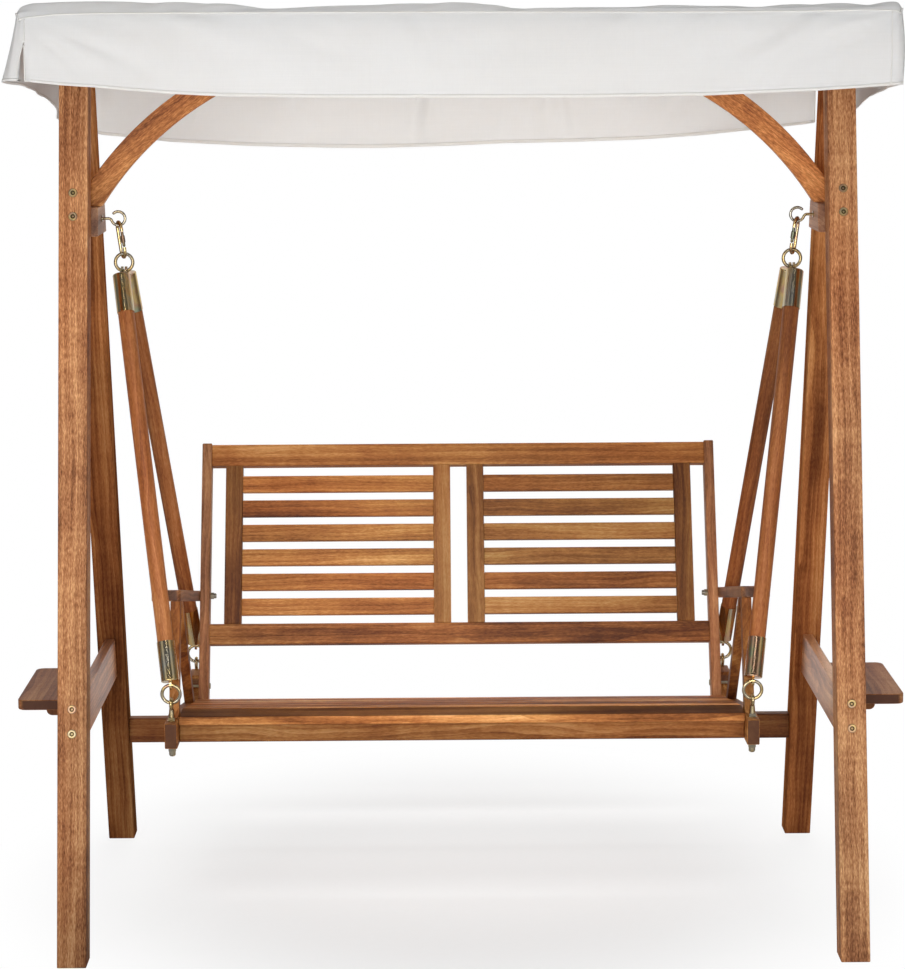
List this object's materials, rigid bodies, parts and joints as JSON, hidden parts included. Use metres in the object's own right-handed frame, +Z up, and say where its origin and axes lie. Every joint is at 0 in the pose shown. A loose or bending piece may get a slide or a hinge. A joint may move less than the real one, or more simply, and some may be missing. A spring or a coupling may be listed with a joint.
{
  "type": "canopy garden swing",
  "caption": "Slatted timber garden swing bench hung on rods from an A-shaped frame with side shelves and curved braces, under a cloth canopy.",
  "frame": {"origin": "on the ground under the middle of the frame, halfway between the trestles and between front and rear feet", "axes": "+Z up, the sitter faces -Y, +X to the right as seen from the front"},
  "size_m": [1.89, 0.9584, 1.9238],
  "materials": {
    "timber": "oiled satin",
    "rod_timber": "oiled satin",
    "zinc_steel": "yellow zinc plated",
    "canopy_cloth": "matt woven"
  },
  "bodies": {
    "frame": {"leg_front_left": "timber", "leg_rear_left": "timber", "leg_front_right": "timber", "leg_rear_right": "timber", "lower_crossbar_left": "timber", "lower_crossbar_right": "timber", "upper_crossbar_left": "timber", "upper_crossbar_right": "timber", "hook_block_left": "timber", "hook_block_right": "timber", "brace_left": "timber", "brace_right": "timber", "shelf_left": "timber", "shelf_right": "timber", "shelf_cleats": "timber", "ridge_beam": "timber", "rear_stretcher": "timber", "leg_screws": "zinc_steel", "side_bolts": "zinc_steel", "hook_left": "zinc_steel", "hook_right": "zinc_steel", "apex_plates": "zinc_steel", "canopy_studs": "zinc_steel"},
    "canopy": {"canopy_side_left": "timber", "canopy_side_right": "timber", "canopy_front_bar": "timber", "canopy_rear_bar": "timber", "canopy_cloth": "canopy_cloth"},
    "swing": {"side_rail_left": "timber", "side_rail_right": "timber", "back_stile_left": "timber", "back_stile_right": "timber", "armrest_left": "timber", "armrest_right": "timber", "arm_posts_left": "timber", "arm_posts_right": "timber", "seat_front_rail": "timber", "seat_slats": "timber", "seat_bearers": "timber", "seat_rear_rail": "timber", "back_top_rail": "timber", "back_bottom_rail": "timber", "back_uprights": "timber", "back_slats_left": "timber", "back_slats_right": "timber", "hanger_rod_front_left": "rod_timber", "hanger_rod_rear_left": "rod_timber", "hanger_rod_front_right": "rod_timber", "hanger_rod_rear_right": "rod_timber", "rod_ferrules": "zinc_steel", "eye_bolts": "zinc_steel", "eye_bolt_nuts": "zinc_steel", "top_rings": "zinc_steel", "bottom_rings": "zinc_steel", "snap_link_left": "zinc_steel", "snap_link_right": "zinc_steel", "bench_bolts": "zinc_steel"},
    "gate_left": {"snap_gate_left": "zinc_steel"},
    "gate_right": {"snap_gate_right": "zinc_steel"}
  },
  "joints": [
    {"name": "swing_hang", "type": "hinge", "parent": "frame", "child": "swing", "pos_m": [0, 0, 1.4755], "axis": [1, 0, 0], "range_deg": [-20, 20]},
    {"name": "canopy_tilt", "type": "hinge", "parent": "frame", "child": "canopy", "pos_m": [0, 0, 1.84], "axis": [1, 0, 0], "range_deg": [-6, 14]},
    {"name": "gate_left_open", "type": "hinge", "parent": "swing", "child": "gate_left", "pos_m": [-0.70781, -0.01337, 1.43392], "axis": [-0.9136, -0.3878, -0.1223], "range_deg": [0, 22], "stiffness_Nm_per_rad": 0.08, "springref_deg": -20.05},
    {"name": "gate_right_open", "type": "hinge", "parent": "swing", "child": "gate_right", "pos_m": [0.70781, -0.01337, 1.43392], "axis": [-0.9136, 0.3878, 0.1223], "range_deg": [0, 22], "stiffness_Nm_per_rad": 0.08, "springref_deg": -20.05}
  ]
}
